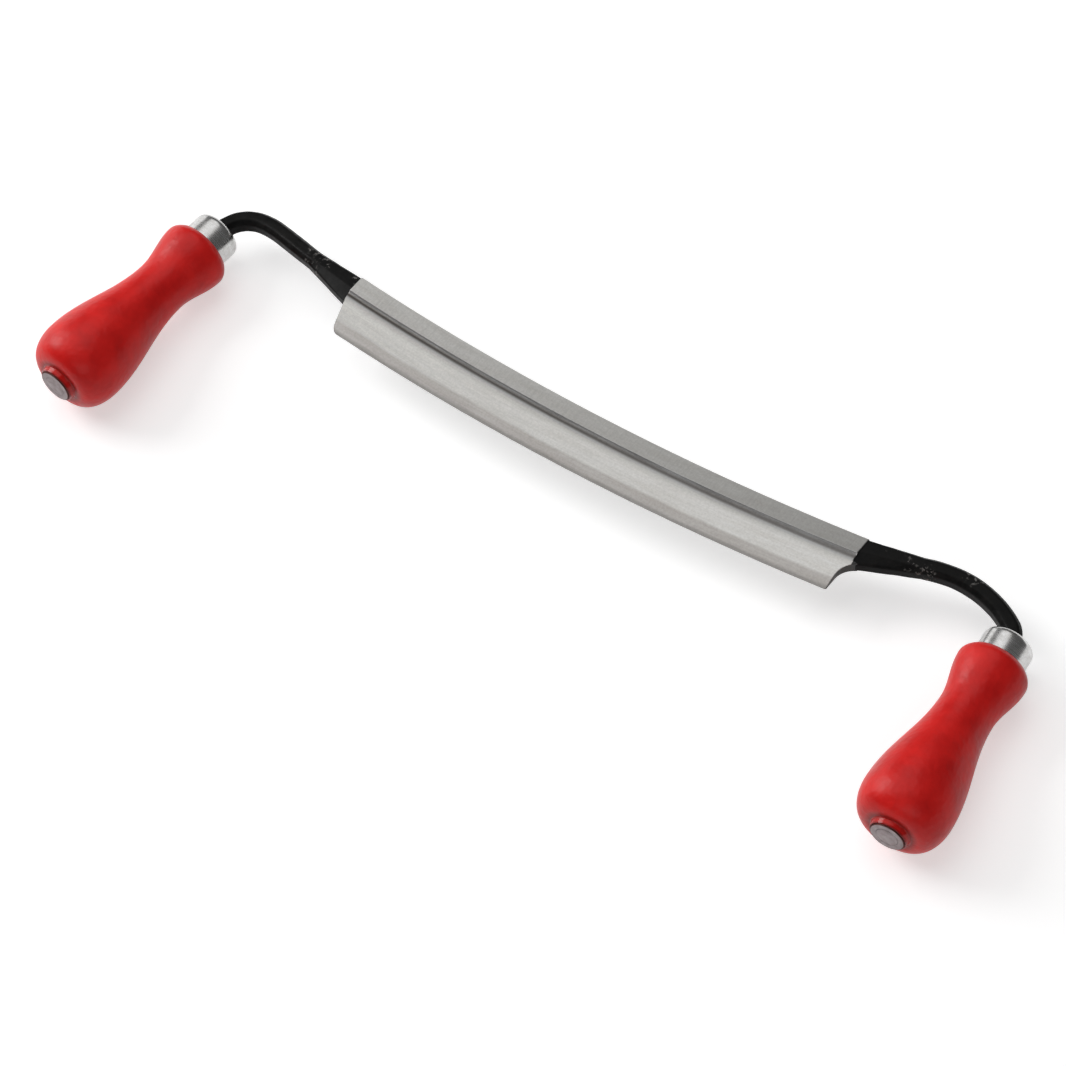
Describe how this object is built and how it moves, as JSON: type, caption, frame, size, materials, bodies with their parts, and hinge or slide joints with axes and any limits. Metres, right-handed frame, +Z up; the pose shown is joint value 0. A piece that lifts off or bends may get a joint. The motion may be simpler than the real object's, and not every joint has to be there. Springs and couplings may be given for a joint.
{
  "type": "curved drawknife",
  "caption": "Curved drawknife: forged blade with a hollow-ground bevel, bent arms and two turned, red-lacquered wooden handles with steel ferrules.",
  "frame": {"origin": "under the middle of the tool's box, on the surface that its handles rest on", "axes": "+X along the blade to the user's right, +Y from the user over the blade to its spine, +Z up"},
  "size_m": [0.4436, 0.1181, 0.0387],
  "materials": {
    "forged_blade": "ground blade, black lacquered arms",
    "left_handle": "gloss red lacquer",
    "right_handle": "gloss red lacquer",
    "left_ferrule": "bright",
    "right_ferrule": "bright",
    "left_butt_washer": "dull",
    "right_butt_washer": "dull"
  },
  "bodies": {
    "root": {"forged_blade": "forged_blade", "left_handle": "left_handle", "right_handle": "right_handle", "left_ferrule": "left_ferrule", "right_ferrule": "right_ferrule", "left_butt_washer": "left_butt_washer", "right_butt_washer": "right_butt_washer"}
  },
  "joints": []
}
